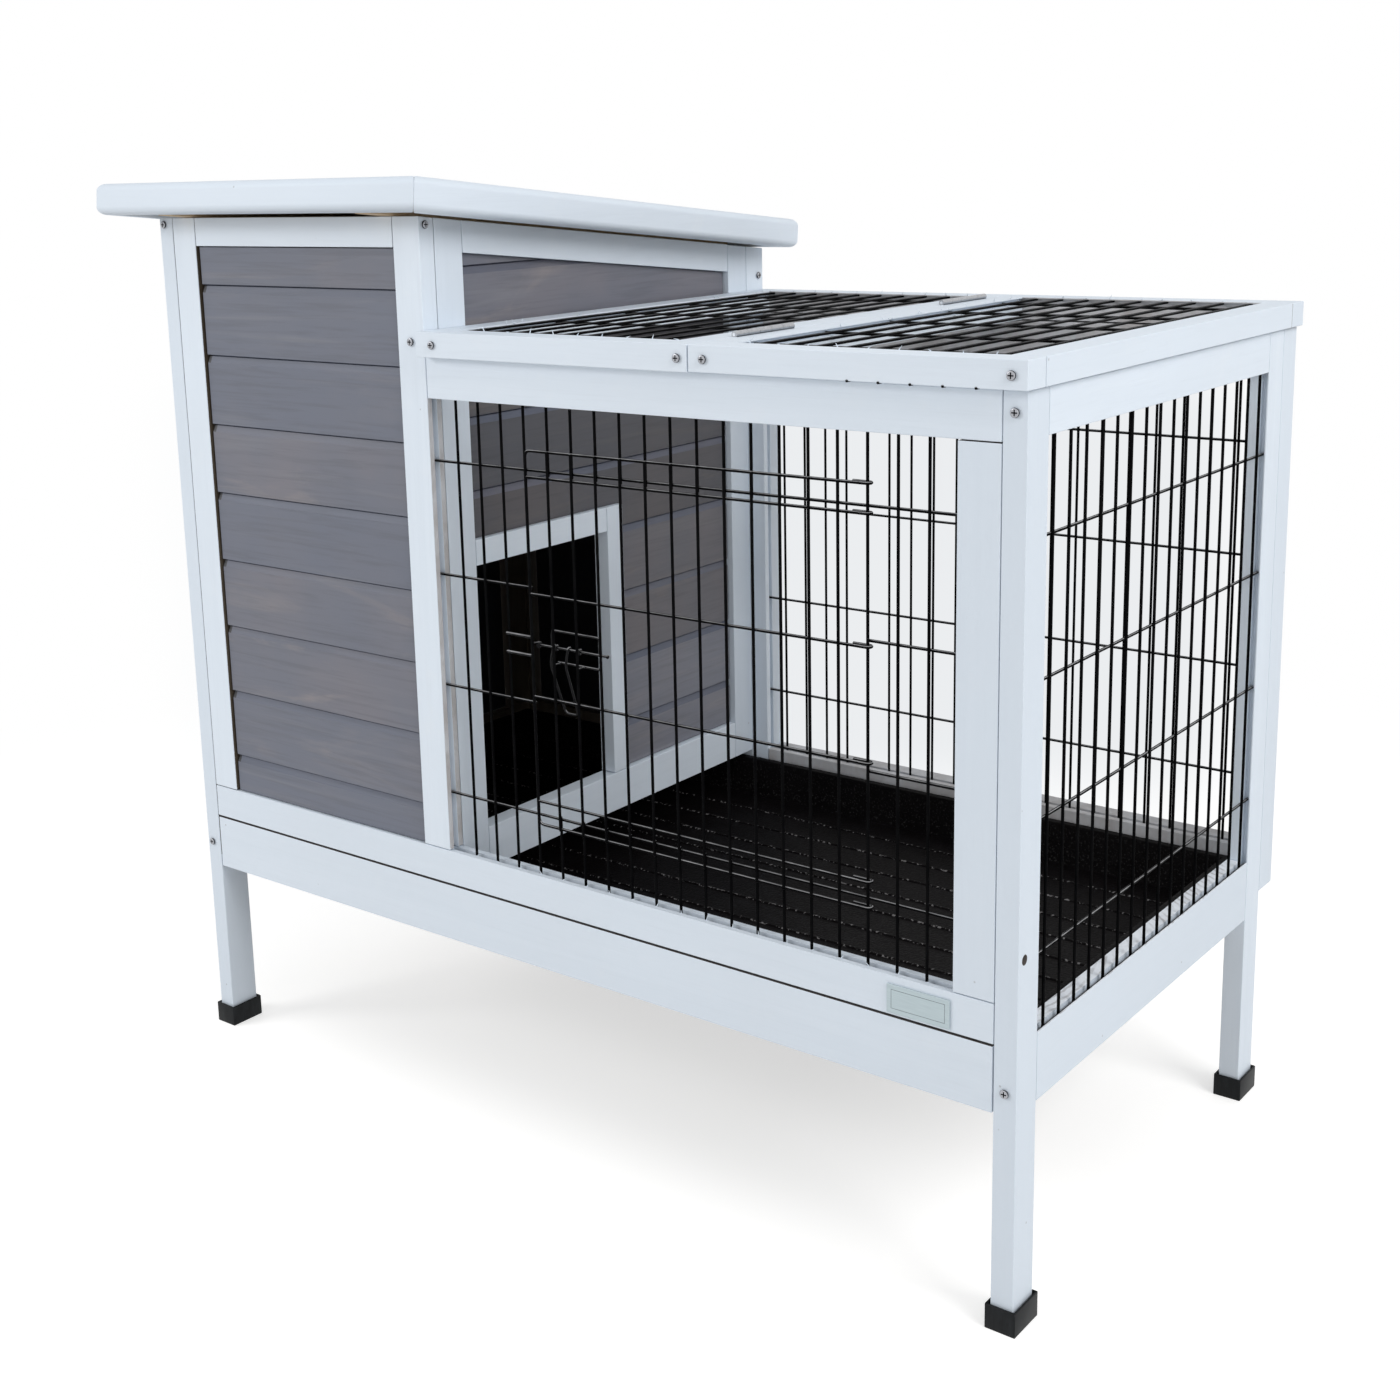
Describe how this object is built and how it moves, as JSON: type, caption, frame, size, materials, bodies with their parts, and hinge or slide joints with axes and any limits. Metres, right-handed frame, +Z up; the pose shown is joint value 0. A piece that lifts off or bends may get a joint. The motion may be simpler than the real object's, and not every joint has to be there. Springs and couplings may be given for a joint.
{
  "type": "rabbit hutch",
  "caption": "Raised timber rabbit hutch: boarded house with hinged sloping roof, wire run with hinged top and latched wire door, pull-out tray.",
  "frame": {"origin": "On the floor, below the centre of the whole outline.", "axes": "+X along the front towards the run end, +Y from the front to the back, +Z up."},
  "size_m": [0.943, 0.5546, 0.8497],
  "materials": {
    "white_timber": "thin white wash, satin",
    "grey_boards": "grey stain, matte",
    "bare_timber": "bare softwood",
    "black_wire": "black powder coat, satin",
    "black_plastic": "black, textured",
    "plate_silver": "satin, silver-grey",
    "zinc_fitting": "zinc plated",
    "roof_felt": "mineral roofing felt, matte"
  },
  "bodies": {
    "hutch": {"post_front_left": "white_timber", "post_rear_left": "white_timber", "post_front_right": "white_timber", "post_rear_right": "white_timber", "foot_caps": "black_plastic", "bottom_rail_front": "white_timber", "blank_plate": "plate_silver", "side_rail_left_bottom": "white_timber", "side_rail_left_top": "white_timber", "side_rail_right_bottom": "white_timber", "side_rail_right_top": "white_timber", "house_front_stile_left": "white_timber", "house_front_stile_right": "white_timber", "house_front_top_rail": "white_timber", "house_front_boards": "grey_boards", "house_left_boards": "grey_boards", "divider_stile_front": "white_timber", "divider_stile_rear": "white_timber", "divider_top_rail": "white_timber", "divider_bottom_rail": "white_timber", "divider_boards": "grey_boards", "doorway_header": "white_timber", "doorway_jamb": "white_timber", "run_front_top_rail": "white_timber", "run_front_stile": "white_timber", "run_front_mesh": "black_wire", "run_side_mesh": "black_wire", "house_back_stiles": "white_timber", "house_back_rails": "white_timber", "house_back_boards": "grey_boards", "run_back_stiles": "white_timber", "run_back_rails": "white_timber", "run_back_mesh": "black_wire", "top_fixed_rails": "white_timber", "top_fixed_mesh": "black_wire", "tray_runners": "bare_timber", "frame_screws": "zinc_fitting", "latch_receiver": "black_wire", "lid_hinge_fixed": "zinc_fitting", "roof_hinge_fixed": "zinc_fitting", "hinge_pins": "zinc_fitting"},
    "run_lid": {"lid_rails": "white_timber", "lid_mesh": "black_wire", "lid_hinge_moving": "zinc_fitting", "lid_screws": "zinc_fitting"},
    "roof": {"roof_panel": "bare_timber", "roof_felt": "roof_felt", "roof_edging": "white_timber", "roof_battens": "bare_timber", "roof_hinge_moving": "zinc_fitting"},
    "wire_door": {"wire_door": "black_wire", "door_loops": "black_wire", "latch_guides": "black_wire"},
    "latch_bolt": {"latch_bolt": "black_wire"},
    "latch_handle": {"latch_handle": "black_wire"},
    "tray": {"tray_pan": "black_plastic", "tray_front": "white_timber"}
  },
  "joints": [
    {"name": "roof_hinge", "type": "hinge", "parent": "hutch", "child": "roof", "pos_m": [-0.262, 0.27005, 0.7609], "axis": [-1, 0, 0], "range_deg": [0, 95]},
    {"name": "run_lid_hinge", "type": "hinge", "parent": "hutch", "child": "run_lid", "pos_m": [0.1935, 0.01598, 0.7235], "axis": [0, -1, 0], "range_deg": [0, 150]},
    {"name": "wire_door_hinge", "type": "hinge", "parent": "hutch", "child": "wire_door", "pos_m": [0.3381, -0.22702, 0.4604], "axis": [0, 0, 1], "range_deg": [0, 150]},
    {"name": "latch_slide", "type": "slide", "parent": "wire_door", "child": "latch_bolt", "axis": [1, 0, 0], "range_m": [-0.01, 0]},
    {"name": "latch_handle_swing", "type": "hinge", "parent": "latch_bolt", "child": "latch_handle", "pos_m": [0.0472, -0.22402, 0.4616], "axis": [1, 0, 0], "range_deg": [-4, 60]},
    {"name": "tray_slide", "type": "slide", "parent": "hutch", "child": "tray", "axis": [0, -1, 0], "range_m": [0, 0.42]}
  ]
}
